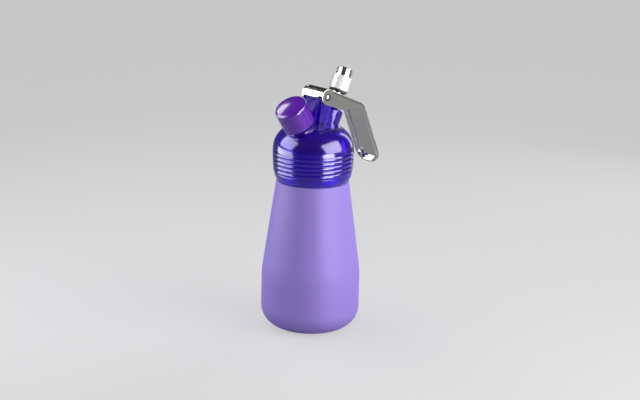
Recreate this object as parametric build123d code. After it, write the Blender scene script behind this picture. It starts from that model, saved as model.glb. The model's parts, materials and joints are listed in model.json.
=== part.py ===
from build123d import *
import math
import os

# Whipped cream dispenser for a quarter litre of cream, in millimetres.
# +Z is up and the origin is the centre of the bottle's base, on the surface it stands on.
# The lever is on the +X side and the charger port on the -X side, both in the XZ plane.

# ---- Fits and gaps ----
RUNNING_GAP = 0.05        # radial gap of a pin or stem in its bore
FACE_GAP = 0.05           # between flat faces that meet across a joint
FREE_GAP = 0.3            # between parts that pass each other
SEAT_GAP = 0.02           # between parts that are fastened to each other
OVERCUT = 1.0             # how far a cutter reaches past the faces it opens

# ---- Bottle ----
BASE_ROUND = 16.5         # radius of the bottle's lower corner
BODY_R = 38.0             # widest part of the bottle, just above the base
WAIST_Z = 45.0            # where the straight base band turns into the cone
BAND_TAPER = 0.2          # how much the base band has narrowed at WAIST_Z
CONE_TOP_Z = 116.3        # top of the cone, under the collar
WAIST_BLEND = 60.0        # blend radius between band and cone
BOTTLE_WALL = 1.5
BASE_THICK = 2.0
NECK_R = 24.6             # core of the neck thread
NECK_WALL = 1.5
NECK_HEIGHT = 23.2        # from the shoulder to the sealing rim
SHOULDER_STEP = 3.1       # how far the cone's top stands out from the neck
SHOULDER_ROUND = 0.8
RIM_THICK = 2.0
RIM_LEDGE = 2.1           # how far the rim turns inwards

# ---- Neck thread (bottle and head) ----
NECK_PITCH = 4.0
NECK_THREAD_H = 1.4       # radial height of a ridge
NECK_ROOT_W = 1.6
NECK_CREST_W = 0.8
NECK_THREAD_RISE = 5.7    # from the shoulder to the start of the bottle's ridge
NECK_TURNS = 2.5
HEAD_TURNS = 2.0
HEAD_THREAD_GAP = 0.4     # radial gap between one part's crest and the other's root

# ---- Head ----
COLLAR_CLEAR = 0.9        # between the bottle's shoulder and the collar's lip
LIP_WALL = 1.0            # collar's wall at the lip, at the lowest rib and at the highest rib
COLLAR_LOW_WALL = 3.2
COLLAR_WALL = 4.1
LIP_HEIGHT = 6.1          # plain lip under the ribs
LIP_BULGE = 0.6
RIB_COUNT = 5
RIB_PITCH = 3.4
RIB_RISE = 0.5
DOME_ROUND = 18.5
DOME_STEP = 0.3           # small step between the ribs and the dome
GASKET_THICK = 2.45
CAVITY_STEP = 1.0         # how much narrower the head's cavity is than the mouth
CAVITY_HEIGHT = 9.95
CAVITY_ROUND = 4.0

# ---- Charger port (slanted towards -X), with heights along its own axis from the boss's seat ----
PORT_LEAN = 32.5          # degrees from vertical
PORT_CROSS_DROP = 22.1    # from the dome's top to where the port's axis crosses the bottle's axis
PORT_BOSS_R = 11.8
BOSS_RISE = 0.755         # seat above the farthest reach of the dome along the port's axis
BOSS_CHAMFER = 0.6
BOSS_RING_COUNT = 2
BOSS_RING_PITCH = 1.3
BOSS_RING_R = 0.35        # radius of a ring's round section
BOSS_RINGS_LOW = -4.5
PORT_FLOOR = -11.9
PORT_BORE_R = 5.0
SPOT_FACE_GAP = 1.0       # round the nuts inside the head
STUD_FLANGE_T = 1.4
STUD_CORE_R = 7.6
STUD_CHAMFER = 0.6
STUD_WELL_R = 4.4
STUD_WELL_FLOOR = 4.1
STUD_SHANK_END = -14.9
NIPPLE_R = 2.7
NIPPLE_END = -18.9
GAS_BORE_R = 1.6
GAS_BORE_CONE = 1.0       # length over which the gas bore narrows to the nipple's bore
NIPPLE_BORE_R = 1.0
PORT_PITCH = 2.0
PORT_THREAD_H = 0.8
PORT_ROOT_W = 0.8
PORT_CREST_W = 0.4
PORT_THREAD_START = 3.5
PORT_TURNS = 4.0
CAP_TURNS = 3.0
CAP_THREAD_GAP = 0.4
INLET_RING_T = 1.0
LOCK_NUT_T = 2.6
LOCK_NUT_AF = 13.0
NEEDLE_R = 1.0
NEEDLE_BORE_R = 0.45
NEEDLE_RISE = 5.5         # point above the well's floor
NEEDLE_POINT = 2.2
NEEDLE_FLANGE_R = 3.0
NEEDLE_FLANGE_T = 1.0
NEEDLE_SHANK = 5.0
CHECK_SLEEVE_R = 3.6
CHECK_SLEEVE_END_T = 0.9
CHECK_SLEEVE_GRIP = 3.5   # length that grips the nipple

# ---- Charger port cap ----
CAP_OPEN_END = 1.3
CAP_LENGTH = 18.0
CAP_TOP_WALL = 2.6
CAP_CROWN = 0.8           # rise of the cap's rounded top
CAP_ROUND = 2.0
CAP_SKIN = 1.6
CAP_SLEEVE_WALL = 1.2
CAP_GROOVE_W = 0.8        # between the inner sleeve and the outer skin
CAP_GROOVE_DEPTH = 11.0
LINER_T = 1.6

# ---- Lever ----
ARM_SLOPE = 23.5          # degrees that the arm slopes down at rest
PIVOT_X = 3.3
PIVOT_RISE = 22.2         # above the dome's top
LEVER_HALF_W = 11.0
LEVER_WALL = 1.5
CHEEK_R = 6.15            # half height of the cheeks at the pivot
CHEEK_RAISE = 0.4         # the cheeks' centre line above the pivot
ROLL_R = 5.75             # outer radius of the web rolled over the pivot
ROLL_END = 209.0          # degrees from the arm's direction, over the top, to the roll's lower end
ARM_LENGTH = 41.6         # pivot to the outer corner of the bend
HANDLE_TURN = 43.0        # degrees from the arm to the handle
HANDLE_LENGTH = 53.0      # outer corner to the handle's tip
FLANGE_DEPTH = 4.5        # depth of the handle's rim
CHEEK_STRAIGHT = 20.5     # length of the cheek's straight lower edge
CHEEK_TAPER = 4.2         # degrees that this edge rises towards the bend
CHEEK_ROUND = 8.0
BEND_ROUND = 10.0
BEND_INNER_ROUND = 6.5
TIP_ROUND = 9.0
EDGE_ROUND = 1.8          # where the web turns into the cheeks and the handle's rim
RIM_ROUND = 0.4           # free edges of the cheeks and of the handle's rim
TRAY_ROUND = 1.2          # inner corner of the channel and the tray

# ---- Pivot ----
PIN_R = 1.9
PIN_HEAD_RIM = 1.0        # how far a head stands out from the pin
PIN_HEAD_H = 1.3
BLOCK_WALL = 0.9          # round the bushes
BLOCK_FRONT = 7.3         # foot of the block, before and behind the pivot
BLOCK_BACK = 10.7
BLOCK_FOOT_SINK = 4.1     # foot of the block under the dome's top
BUSH_WALL = 0.75
BUSH_FLANGE_RIM = 0.8
BUSH_FLANGE_T = 0.75
BUSH_LENGTH = 5.0

# ---- Valve, with heights along its own axis from the arm's centre line ----
VALVE_LEAN = 26.0         # degrees from vertical, towards +X
STEM_FROM_PIVOT = 19.2
STEM_R = 4.0
STEM_WALL = 1.4
STEM_TOP = 19.0
WASHER_RIM = 0.9          # how far the washer stands out from the stem's flange
WASHER_T = 2.4
WASHER_CROWN_R = 14.0
WASHER_GAP = 0.3          # between the washer's crown and the lever's web
STEM_FLANGE_T = 1.2
WEB_HOLE_GAP = 1.2        # round the stem, for its tilt against the lever
NUT_LOW = 7.9
NUT_T = 1.9
NUT_AF = 12.6
NUT_CHAMFER = 0.3
SLEEVE_R = 7.7
SLEEVE_LEN = 11.0
SLEEVE_EDGE = 0.4
TIP_SHANK_WALL = 1.48
TIP_SHANK_LEN = 7.0
TIP_CORE_R = 5.6
TIP_WALL = 2.4
TIP_COLLAR_T = 0.8
TIP_LENGTH = 6.7
TIP_THREAD_H = 0.75
TIP_PITCH = 1.6
TIP_TURNS = 2.6
TIP_ROOT_W = 1.2
TIP_CREST_W = 0.35
TIP_CHAMFER = 0.7
SIDE_PORT_R = 1.3
SIDE_PORT_RISE = 2.2      # side port's centre above the bush's seat

# ---- Valve tower of the head ----
TOWER_TOP = -4.6
TOWER_WALL = 2.6
TOWER_ROUND = 2.5
CHAMBER_FLOOR = -13.5
VALVE_FLOOR = -23.5
BUSH_SEAT = -27.2
BUSH_NOSE_WALL = 1.35
BUSH_SEAT_CHAMFER = 0.4
BUSH_LEDGE = 1.0          # ledge between the spring chamber and the bush
BUSH_HEAD_AF = 14.5
BUSH_HEAD_T = 2.4
BUSH_RING_T = 0.8
SPRING_WIRE_R = 0.55
FLANGE_PLAY = 0.5         # round the stem's flange in the chamber
SPRING_TURNS = 4.5
SPRING_WASHER_T = 0.8
PLUG_SEAL_T = 1.5
PLUG_RIM = 0.2            # seal beyond the plug's disc
PLUG_CHAMFER = 0.6
PLUG_DISC_T = 2.0
PLUG_SHANK = 2.0
RING_WIRE_R = 0.4
RING_GROOVE_W = 1.2
RING_CENTRE = -19.0

# ---- Heights, radii and frames worked out from the sizes above ----
CONE_TOP_R = NECK_R + SHOULDER_STEP
RIM_Z = CONE_TOP_Z + NECK_HEIGHT
MOUTH_R = NECK_R - NECK_WALL - RIM_LEDGE
NECK_THREAD_Z = CONE_TOP_Z + NECK_THREAD_RISE
HEAD_BORE_R = NECK_R + NECK_THREAD_H + HEAD_THREAD_GAP
COLLAR_Z = CONE_TOP_Z + COLLAR_CLEAR
COLLAR_LIP_R = HEAD_BORE_R + LIP_WALL
RIBS_Z = COLLAR_Z + LIP_HEIGHT
RIBS_LOW_R = HEAD_BORE_R + COLLAR_LOW_WALL
COLLAR_R = HEAD_BORE_R + COLLAR_WALL
RIBS_TOP_Z = RIBS_Z + RIB_COUNT * RIB_PITCH
DOME_R = COLLAR_R + DOME_STEP
DOME_TOP_Z = RIBS_TOP_Z + DOME_STEP + DOME_ROUND
GASKET_Z = RIM_Z + FACE_GAP
CEILING_Z = GASKET_Z + GASKET_THICK + FACE_GAP
CAVITY_R = MOUTH_R - CAVITY_STEP
CAVITY_TOP_Z = CEILING_Z + CAVITY_HEIGHT
PORT_CROSS_Z = DOME_TOP_Z - PORT_CROSS_DROP
PIVOT_Z = DOME_TOP_Z + PIVOT_RISE
PIVOT = Pos(PIVOT_X, 0, PIVOT_Z)
ARM = PIVOT * Rot(0, ARM_SLOPE, 0)
VALVE = ARM * Pos(STEM_FROM_PIVOT, 0, 0) * Rot(0, VALVE_LEAN - ARM_SLOPE, 0)
LEAN = math.radians(PORT_LEAN)
DOME_CENTRE = Vector(DOME_R - DOME_ROUND, 0, RIBS_TOP_Z + DOME_STEP - PORT_CROSS_Z)
DOME_REACH = DOME_CENTRE.dot(Vector(math.sin(LEAN), 0, math.cos(LEAN))) + DOME_ROUND
PORT = Pos(0, 0, PORT_CROSS_Z) * Rot(0, -PORT_LEAN, 0) * Pos(0, 0, DOME_REACH + BOSS_RISE)
CHEEK_TOP = CHEEK_RAISE + CHEEK_R
WEB_UNDER = CHEEK_TOP - LEVER_WALL
ROLL_RAISE = CHEEK_TOP - ROLL_R
WASHER_TOP = WEB_UNDER - WASHER_GAP
WASHER_LOW = WASHER_TOP - WASHER_T
FLANGE_TOP = WASHER_LOW - SEAT_GAP
FLANGE_LOW = FLANGE_TOP - STEM_FLANGE_T
SLEEVE_LOW = NUT_LOW + NUT_T + SEAT_GAP
SLEEVE_TOP = SLEEVE_LOW + SLEEVE_LEN
TIP_LOW = SLEEVE_TOP + SEAT_GAP
TIP_TOP = TIP_LOW + TIP_LENGTH
SEAL_TOP = BUSH_SEAT - FACE_GAP
STEM_END = SEAL_TOP - PLUG_SEAL_T
BUSH_HEAD_TOP = VALVE_FLOOR - SEAT_GAP - BUSH_RING_T - SEAT_GAP
BUSH_HEAD_LOW = BUSH_HEAD_TOP - BUSH_HEAD_T
SPRING_SEAT = CHAMBER_FLOOR + SEAT_GAP + SPRING_WASHER_T + SEAT_GAP
STEM_BORE_R = STEM_R - STEM_WALL
BUSH_BORE_R = STEM_R + RUNNING_GAP
BUSH_NOSE_R = BUSH_BORE_R + BUSH_NOSE_WALL
CHANNEL_HALF_W = LEVER_HALF_W - LEVER_WALL
TOWER_R = CHANNEL_HALF_W - FREE_GAP
CHAMBER_R = TOWER_R - TOWER_WALL
VALVE_BUSH_R = CHAMBER_R - BUSH_LEDGE
STEM_FLANGE_R = CHAMBER_R - FLANGE_PLAY
SPRING_MEAN_R = (STEM_R + CHAMBER_R) / 2
WASHER_R = STEM_FLANGE_R + WASHER_RIM
RING_GROOVE_FLOOR_R = STEM_R - 2 * RING_WIRE_R
TIP_BORE_R = TIP_CORE_R - TIP_WALL
TIP_SHANK_R = STEM_R + SEAT_GAP + TIP_SHANK_WALL
PIVOT_BUSH_R = PIN_R + RUNNING_GAP + BUSH_WALL
BLOCK_R = PIVOT_BUSH_R + BLOCK_WALL
BLOCK_HALF_W = CHANNEL_HALF_W - FREE_GAP - BUSH_FLANGE_T - SEAT_GAP
CAP_END = CAP_OPEN_END + CAP_LENGTH
CAP_CEILING = CAP_END - CAP_TOP_WALL
LINER_LOW = CAP_CEILING - FACE_GAP - LINER_T
STUD_TOP = LINER_LOW - FACE_GAP
STUD_FLANGE_LOW = SEAT_GAP + INLET_RING_T + SEAT_GAP
CAP_BORE_R = STUD_CORE_R + PORT_THREAD_H + CAP_THREAD_GAP
CAP_R = CAP_BORE_R + CAP_SLEEVE_WALL + CAP_GROOVE_W + CAP_SKIN


def turned(*points):
    """Solid of revolution about local Z from (radius, height) points."""
    outline = Polyline(*[(r, 0, z) for r, z in points], close=True)
    return revolve(make_face(outline), Axis.Z, 360)


def tube(outer_r, inner_r, low, high):
    """Ring about local Z from low to high."""
    return turned((inner_r, low), (outer_r, low), (outer_r, high), (inner_r, high))


def rod(radius, low, high):
    """Round bar about local Z from low to high."""
    return Pos(0, 0, low) * Cylinder(radius, high - low, align=(Align.CENTER, Align.CENTER, Align.MIN))


def thread_ridge(root_r, crest_r, pitch, turns, root_w, crest_w):
    """Helical ridge that starts at z = 0; its root is sunk by a fifth of a millimetre to fuse."""
    sink = 0.2 if crest_r > root_r else -0.2
    outline = Polyline(
        (root_r - sink, 0, -root_w / 2),
        (crest_r, 0, -crest_w / 2),
        (crest_r, 0, crest_w / 2),
        (root_r - sink, 0, root_w / 2),
        close=True,
    )
    path = Helix(pitch, pitch * turns, root_r)
    return sweep(make_face(outline), path=path, is_frenet=True)


def hex_blank(across_flats, low, high, chamfer_r):
    """Hexagonal nut body with its corners turned off to a cone at both faces."""
    corner_r = across_flats / math.sqrt(3)
    prism = Pos(0, 0, low) * extrude(RegularPolygon(corner_r, 6), high - low)
    drop = (corner_r + 0.5 - chamfer_r) * math.tan(math.radians(30))
    envelope = turned(
        (0, low), (chamfer_r, low), (corner_r + 0.5, low + drop),
        (corner_r + 0.5, high - drop), (chamfer_r, high), (0, high),
    )
    return prism & envelope


def bottle_shell():
    """Aluminium bottle: rounded base, straight band, cone, shoulder and threaded neck."""
    profile = Polyline(
        (0, 0, 0), (BODY_R, 0, 0), (BODY_R - BAND_TAPER, 0, WAIST_Z),
        (CONE_TOP_R, 0, CONE_TOP_Z), (NECK_R, 0, CONE_TOP_Z), (NECK_R, 0, RIM_Z),
        (0, 0, RIM_Z), close=True,
    )
    face = make_face(profile)
    corners = face.vertices()
    face = fillet(corners.sort_by_distance((BODY_R, 0, 0))[0], BASE_ROUND)
    face = fillet(face.vertices().sort_by_distance((BODY_R - BAND_TAPER, 0, WAIST_Z))[0], WAIST_BLEND)
    face = fillet(face.vertices().sort_by_distance((CONE_TOP_R, 0, CONE_TOP_Z))[0], SHOULDER_ROUND)
    outside = revolve(face, Axis.Z, 360)
    neck_bore_r = NECK_R - NECK_WALL
    inner = Polyline(
        (0, 0, BASE_THICK), (BODY_R - BOTTLE_WALL, 0, BASE_THICK),
        (BODY_R - BAND_TAPER - BOTTLE_WALL, 0, WAIST_Z),
        (CONE_TOP_R - BOTTLE_WALL, 0, CONE_TOP_Z - BOTTLE_WALL),
        (neck_bore_r, 0, CONE_TOP_Z - BOTTLE_WALL),
        (neck_bore_r, 0, RIM_Z - RIM_THICK), (0, 0, RIM_Z - RIM_THICK), close=True,
    )
    room = make_face(inner)
    room = fillet(room.vertices().sort_by_distance((BODY_R, 0, BASE_THICK))[0], BASE_ROUND - BOTTLE_WALL)
    room = fillet(room.vertices().sort_by_distance((BODY_R, 0, WAIST_Z))[0], WAIST_BLEND)
    ridge = thread_ridge(NECK_R, NECK_R + NECK_THREAD_H, NECK_PITCH, NECK_TURNS, NECK_ROOT_W, NECK_CREST_W)
    shell = outside - revolve(room, Axis.Z, 360)
    shell += Pos(0, 0, NECK_THREAD_Z) * ridge
    return shell - rod(MOUTH_R, RIM_Z - RIM_THICK - OVERCUT, RIM_Z + OVERCUT)


def head_gasket():
    """Flat silicone ring that seals the head on the bottle's rim."""
    return tube(HEAD_BORE_R - FREE_GAP, CAVITY_R, GASKET_Z, GASKET_Z + GASKET_THICK)


def rib_valley_r(height):
    """Radius of the collar between its ribs: it swells towards the top."""
    share = (RIBS_TOP_Z - height) / (RIBS_TOP_Z - RIBS_Z)
    return COLLAR_R - (COLLAR_R - RIBS_LOW_R) * share ** 2


def collar_and_dome():
    """Outside of the head without its boss and tower: lip, ribs, step and dome."""
    with BuildSketch(Plane.XZ) as outline:
        with BuildLine():
            lip = (COLLAR_LIP_R, COLLAR_Z)
            low = (RIBS_LOW_R, RIBS_Z)
            Polyline((0, COLLAR_Z), lip)
            SagittaArc(lip, low, -LIP_BULGE)
            for index in range(RIB_COUNT):
                start_z = RIBS_Z + index * RIB_PITCH
                end_z = start_z + RIB_PITCH
                start = (rib_valley_r(start_z), start_z)
                end = (rib_valley_r(end_z), end_z)
                crest = ((start[0] + end[0]) / 2 + RIB_RISE, (start_z + end_z) / 2)
                ThreePointArc(start, crest, end)
            step = (DOME_R, RIBS_TOP_Z + DOME_STEP)
            crown = (DOME_R - DOME_ROUND, DOME_TOP_Z)
            Line((COLLAR_R, RIBS_TOP_Z), step)
            RadiusArc(step, crown, -DOME_ROUND)
            Polyline(crown, (0, DOME_TOP_Z), (0, COLLAR_Z))
        make_face()
    return revolve(outline.sketch, Axis.Z, 360)


def valve_tower():
    """Round tower of the head along the valve's axis, narrow enough to stand between the cheeks."""
    tower = rod(TOWER_R, VALVE_FLOOR, TOWER_TOP)
    tower = fillet(tower.edges().filter_by(GeomType.CIRCLE).sort_by(Axis.Z)[-1], TOWER_ROUND)
    return VALVE * tower


def pivot_block():
    """Block of the head that stands between the cheeks and carries the pivot pin."""
    with BuildSketch(Plane.XZ.offset(-BLOCK_HALF_W)) as side:
        with BuildLine():
            foot_z = DOME_TOP_Z - BLOCK_FOOT_SINK
            front = (PIVOT_X - BLOCK_FRONT, foot_z)
            Polyline(front, (PIVOT_X - BLOCK_R, PIVOT_Z), (PIVOT_X + BLOCK_R, PIVOT_Z),
                     (PIVOT_X + BLOCK_BACK, foot_z), front)
        make_face()
        with Locations((PIVOT_X, PIVOT_Z)):
            Circle(BLOCK_R)
    return extrude(side.sketch, 2 * BLOCK_HALF_W)


def head_shell():
    """Moulded head: collar, dome, port boss, valve tower and pivot block, with their bores."""
    boss = rod(PORT_BOSS_R, PORT_FLOOR, 0)
    boss = chamfer(boss.edges().filter_by(GeomType.CIRCLE).sort_by(Axis.Z)[-1], BOSS_CHAMFER)
    for index in range(BOSS_RING_COUNT):
        boss += Pos(0, 0, BOSS_RINGS_LOW + index * BOSS_RING_PITCH) * Torus(PORT_BOSS_R, BOSS_RING_R)
    head = collar_and_dome() + PORT * boss + valve_tower() + pivot_block()
    head -= rod(HEAD_BORE_R, COLLAR_Z - OVERCUT, CEILING_Z)
    cavity = rod(CAVITY_R, CEILING_Z - OVERCUT, CAVITY_TOP_Z)
    head -= fillet(cavity.edges().filter_by(GeomType.CIRCLE).sort_by(Axis.Z)[-1], CAVITY_ROUND)
    head -= PORT * rod(PORT_BORE_R, NIPPLE_END, OVERCUT)
    head -= PORT * rod(LOCK_NUT_AF / math.sqrt(3) + SPOT_FACE_GAP, NIPPLE_END, PORT_FLOOR)
    head -= VALVE * rod(CHAMBER_R, CHAMBER_FLOOR, TOWER_TOP + OVERCUT)
    head -= VALVE * rod(VALVE_BUSH_R + SEAT_GAP, VALVE_FLOOR - OVERCUT, CHAMBER_FLOOR + OVERCUT)
    head -= VALVE * rod(BUSH_HEAD_AF / math.sqrt(3) + SPOT_FACE_GAP, STEM_END, VALVE_FLOOR)
    head -= PIVOT * Rot(90, 0, 0) * Cylinder(PIVOT_BUSH_R + SEAT_GAP, 4 * BLOCK_HALF_W)
    ridge = thread_ridge(HEAD_BORE_R, NECK_R + HEAD_THREAD_GAP, NECK_PITCH, HEAD_TURNS,
                         NECK_ROOT_W, NECK_CREST_W)
    head += Pos(0, 0, NECK_THREAD_Z - NECK_PITCH / 2) * ridge
    return head


def inlet_stud():
    """Metal stud: flange on its ring, threaded barrel with a well, shank and nipple inside."""
    flange_r = STUD_CORE_R + PORT_THREAD_H
    shank_r = PORT_BORE_R - SEAT_GAP
    body = turned(
        (NIPPLE_BORE_R, NIPPLE_END), (NIPPLE_R, NIPPLE_END), (NIPPLE_R, STUD_SHANK_END),
        (shank_r, STUD_SHANK_END), (shank_r, STUD_FLANGE_LOW), (flange_r, STUD_FLANGE_LOW),
        (flange_r, STUD_FLANGE_LOW + STUD_FLANGE_T), (STUD_CORE_R, STUD_FLANGE_LOW + STUD_FLANGE_T),
        (STUD_CORE_R, STUD_TOP - STUD_CHAMFER), (STUD_CORE_R - STUD_CHAMFER, STUD_TOP),
        (STUD_WELL_R, STUD_TOP), (STUD_WELL_R, STUD_WELL_FLOOR), (GAS_BORE_R, STUD_WELL_FLOOR),
        (GAS_BORE_R, STUD_SHANK_END + GAS_BORE_CONE), (NIPPLE_BORE_R, STUD_SHANK_END),
    )
    ridge = thread_ridge(STUD_CORE_R, flange_r, PORT_PITCH, PORT_TURNS, PORT_ROOT_W, PORT_CREST_W)
    return PORT * (body + Pos(0, 0, PORT_THREAD_START) * ridge)


def inlet_seal_ring():
    """Flat ring under the stud's flange."""
    return PORT * tube(STUD_CORE_R + PORT_THREAD_H, PORT_BORE_R, SEAT_GAP, SEAT_GAP + INLET_RING_T)


def inlet_lock_nut():
    """Hexagon nut that holds the stud from inside the head."""
    top = PORT_FLOOR - SEAT_GAP
    low = top - LOCK_NUT_T
    nut = hex_blank(LOCK_NUT_AF, low, top, LOCK_NUT_AF / 2 - 0.2)
    return PORT * (nut - rod(PORT_BORE_R, low - OVERCUT, top + OVERCUT))


def piercing_pin():
    """Hollow needle with a flange that stands in the stud's well."""
    floor = STUD_WELL_FLOOR + SEAT_GAP
    point = STUD_WELL_FLOOR + NEEDLE_RISE
    shank_r = GAS_BORE_R - SEAT_GAP
    return PORT * turned(
        (NEEDLE_BORE_R, floor - NEEDLE_SHANK), (shank_r, floor - NEEDLE_SHANK), (shank_r, floor),
        (NEEDLE_FLANGE_R, floor), (NEEDLE_FLANGE_R, floor + NEEDLE_FLANGE_T),
        (NEEDLE_R, floor + NEEDLE_FLANGE_T), (NEEDLE_R, point - NEEDLE_POINT),
        (NEEDLE_BORE_R + 0.1, point), (NEEDLE_BORE_R, point),
    )


def check_valve_sleeve():
    """Silicone cap on the stud's nipple that opens for gas going in."""
    end = NIPPLE_END - SEAT_GAP - CHECK_SLEEVE_END_T
    grip_r = NIPPLE_R + SEAT_GAP
    return PORT * turned(
        (0, end), (CHECK_SLEEVE_R, end), (CHECK_SLEEVE_R, NIPPLE_END + CHECK_SLEEVE_GRIP),
        (grip_r, NIPPLE_END + CHECK_SLEEVE_GRIP), (grip_r, NIPPLE_END - SEAT_GAP),
        (0, NIPPLE_END - SEAT_GAP),
    )


def charger_port_cap():
    """Cap with a crowned top, a threaded inner sleeve and an outer skin, open towards the head."""
    corner = (CAP_R, CAP_END - CAP_CROWN)
    crown_r = (CAP_R ** 2 + CAP_CROWN ** 2) / (2 * CAP_CROWN)
    with BuildSketch(Plane.XZ) as outline:
        with BuildLine():
            Polyline((0, CAP_END), (0, CAP_OPEN_END), (CAP_R, CAP_OPEN_END), corner)
            RadiusArc(corner, (0, CAP_END), -crown_r)
        make_face()
        fillet(outline.vertices().sort_by_distance(corner)[0], CAP_ROUND)
    body = revolve(outline.sketch, Axis.Z, 360)
    body -= rod(CAP_BORE_R, CAP_OPEN_END - OVERCUT, CAP_CEILING)
    body -= tube(CAP_R - CAP_SKIN, CAP_BORE_R + CAP_SLEEVE_WALL, CAP_OPEN_END - OVERCUT,
                 CAP_OPEN_END + CAP_GROOVE_DEPTH)
    ridge = thread_ridge(CAP_BORE_R, STUD_CORE_R + CAP_THREAD_GAP, PORT_PITCH, CAP_TURNS,
                         PORT_ROOT_W, PORT_CREST_W)
    return PORT * (body + Pos(0, 0, PORT_THREAD_START + PORT_PITCH / 2) * ridge)


def cap_liner():
    """Soft disc between the cap's ceiling and the stud's rim."""
    return PORT * rod(CAP_BORE_R - FREE_GAP, LINER_LOW, LINER_LOW + LINER_T)


def valve_bush():
    """Screwed guide bush of the stem, with a hexagon head and the valve's seat at its nose."""
    head = hex_blank(BUSH_HEAD_AF, BUSH_HEAD_LOW, BUSH_HEAD_TOP, BUSH_HEAD_AF / 2 - 0.2)
    barrel = rod(VALVE_BUSH_R, BUSH_HEAD_TOP, CHAMBER_FLOOR)
    nose = rod(BUSH_NOSE_R, BUSH_SEAT, BUSH_HEAD_LOW)
    bush = head + barrel + nose - rod(BUSH_BORE_R, BUSH_SEAT - OVERCUT, CHAMBER_FLOOR + OVERCUT)
    seat = turned((0, BUSH_SEAT), (BUSH_BORE_R + BUSH_SEAT_CHAMFER, BUSH_SEAT),
                  (BUSH_BORE_R, BUSH_SEAT + BUSH_SEAT_CHAMFER), (0, BUSH_SEAT + BUSH_SEAT_CHAMFER))
    return VALVE * (bush - seat)


def bush_seal_ring():
    """Flat ring between the bush's head and the head's spot face."""
    low = BUSH_HEAD_TOP + SEAT_GAP
    return VALVE * tube(BUSH_HEAD_AF / 2, VALVE_BUSH_R + SEAT_GAP, low, low + BUSH_RING_T)


def spring_washer():
    """Washer at the bottom of the spring chamber."""
    low = CHAMBER_FLOOR + SEAT_GAP
    return VALVE * tube(CHAMBER_R - RUNNING_GAP, STEM_R + FREE_GAP, low, low + SPRING_WASHER_T)


def return_spring():
    """Coil spring between its washer and the stem's flange."""
    low = SPRING_SEAT + SPRING_WIRE_R
    high = FLANGE_LOW - SEAT_GAP - SPRING_WIRE_R
    path = Helix((high - low) / SPRING_TURNS, high - low, SPRING_MEAN_R)
    wire = Plane(origin=path @ 0, z_dir=path % 0) * Circle(SPRING_WIRE_R)
    return VALVE * Pos(0, 0, low) * sweep(wire, path=path, is_frenet=True)


def valve_stem():
    """Hollow stem with the flange the spring lifts, a ring groove and side ports."""
    stem = turned(
        (STEM_BORE_R, STEM_END), (STEM_R, STEM_END), (STEM_R, FLANGE_LOW),
        (STEM_FLANGE_R, FLANGE_LOW), (STEM_FLANGE_R, FLANGE_TOP), (STEM_R, FLANGE_TOP),
        (STEM_R, STEM_TOP), (STEM_BORE_R, STEM_TOP),
    )
    stem -= tube(STEM_R + OVERCUT, RING_GROOVE_FLOOR_R, RING_CENTRE - RING_GROOVE_W / 2,
                 RING_CENTRE + RING_GROOVE_W / 2)
    port = Pos(0, 0, BUSH_SEAT + SIDE_PORT_RISE) * Rot(90, 0, 0) * Cylinder(SIDE_PORT_R, 4 * STEM_R)
    return VALVE * (stem - port - Rot(0, 0, 90) * port)


def stem_seal_ring():
    """O-ring in the stem's groove."""
    centre_r = RING_GROOVE_FLOOR_R + SEAT_GAP + RING_WIRE_R
    return VALVE * Pos(0, 0, RING_CENTRE) * Torus(centre_r, RING_WIRE_R)


def plug_seal():
    """Soft ring round the stem's lower end that closes on the bush."""
    return VALVE * tube(BUSH_NOSE_R, STEM_R + SEAT_GAP, STEM_END, SEAL_TOP)


def valve_plug():
    """Plug that closes the stem's lower end and holds the seal."""
    top = STEM_END - SEAT_GAP
    low = top - PLUG_DISC_T
    disc_r = BUSH_NOSE_R - PLUG_RIM
    shank_r = STEM_BORE_R - SEAT_GAP
    return VALVE * turned(
        (0, low), (disc_r - PLUG_CHAMFER, low), (disc_r, low + PLUG_CHAMFER), (disc_r, top),
        (shank_r, top), (shank_r, top + PLUG_SHANK), (0, top + PLUG_SHANK),
    )


def rocker_washer():
    """Washer on the stem's flange whose crown, a cylinder across the lever, the web pushes on."""
    ring = tube(WASHER_R, STEM_R + SEAT_GAP, WASHER_LOW, WASHER_TOP)
    crown = Pos(0, 0, WASHER_TOP - WASHER_CROWN_R) * Rot(90, 0, 0) * Cylinder(WASHER_CROWN_R, 4 * WASHER_R)
    return VALVE * (ring & crown)


def stem_nut():
    """Hexagon nut on the stem, above the lever."""
    nut = hex_blank(NUT_AF, NUT_LOW, NUT_LOW + NUT_T, NUT_AF / 2 - NUT_CHAMFER)
    return VALVE * (nut - rod(STEM_R + SEAT_GAP, NUT_LOW - OVERCUT, NUT_LOW + NUT_T + OVERCUT))


def nozzle_sleeve():
    """White sleeve on the nut, wider inside at its upper end for the tip's shank."""
    body = rod(SLEEVE_R, SLEEVE_LOW, SLEEVE_TOP)
    body = fillet(body.edges().filter_by(GeomType.CIRCLE), SLEEVE_EDGE)
    body -= rod(STEM_R + SEAT_GAP, SLEEVE_LOW - OVERCUT, SLEEVE_TOP)
    return VALVE * (body - rod(TIP_SHANK_R + SEAT_GAP, SLEEVE_TOP - TIP_SHANK_LEN, SLEEVE_TOP + OVERCUT))


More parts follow.
